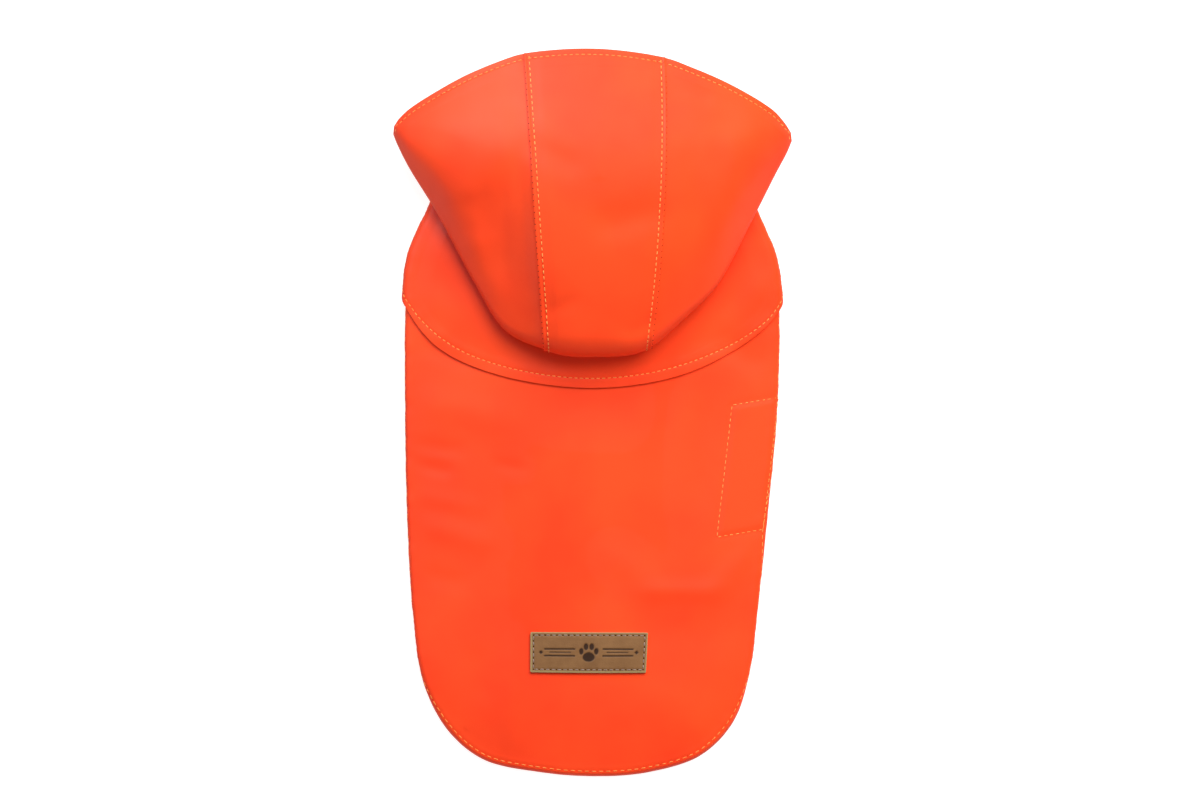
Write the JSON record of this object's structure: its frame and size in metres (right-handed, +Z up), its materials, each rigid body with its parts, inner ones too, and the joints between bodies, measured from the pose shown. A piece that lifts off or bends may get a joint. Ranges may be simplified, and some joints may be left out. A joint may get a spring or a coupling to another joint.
{
  "type": "hooded dog raincoat",
  "caption": "Small dog's raincoat laid flat with its back up: rounded back panel, shoulder cape, puffed three-piece hood, belly band and chest panel beneath.",
  "frame": {"origin": "centre of the coat's bounding box, on the surface that it lies on", "axes": "+X to the right across the coat seen from above, +Y from the tail towards the head, +Z up, away from the surface"},
  "size_m": [0.2084, 0.3804, 0.0545],
  "materials": {
    "coated_cloth": "smooth rubberised rainwear cloth, soft satin sheen",
    "hook_and_loop": "woven hook-and-loop tape, matte",
    "label_leather": "vegetable-tanned leather, smooth matte, debossed"
  },
  "bodies": {
    "root": {"back_panel": "coated_cloth", "shoulder_cape": "coated_cloth", "hood_centre": "coated_cloth", "hood_left": "coated_cloth", "hood_right": "coated_cloth", "chest_panel": "coated_cloth", "belly_band": "coated_cloth", "loop_tape": "hook_and_loop", "hook_tape": "hook_and_loop", "label": "label_leather"}
  },
  "joints": []
}
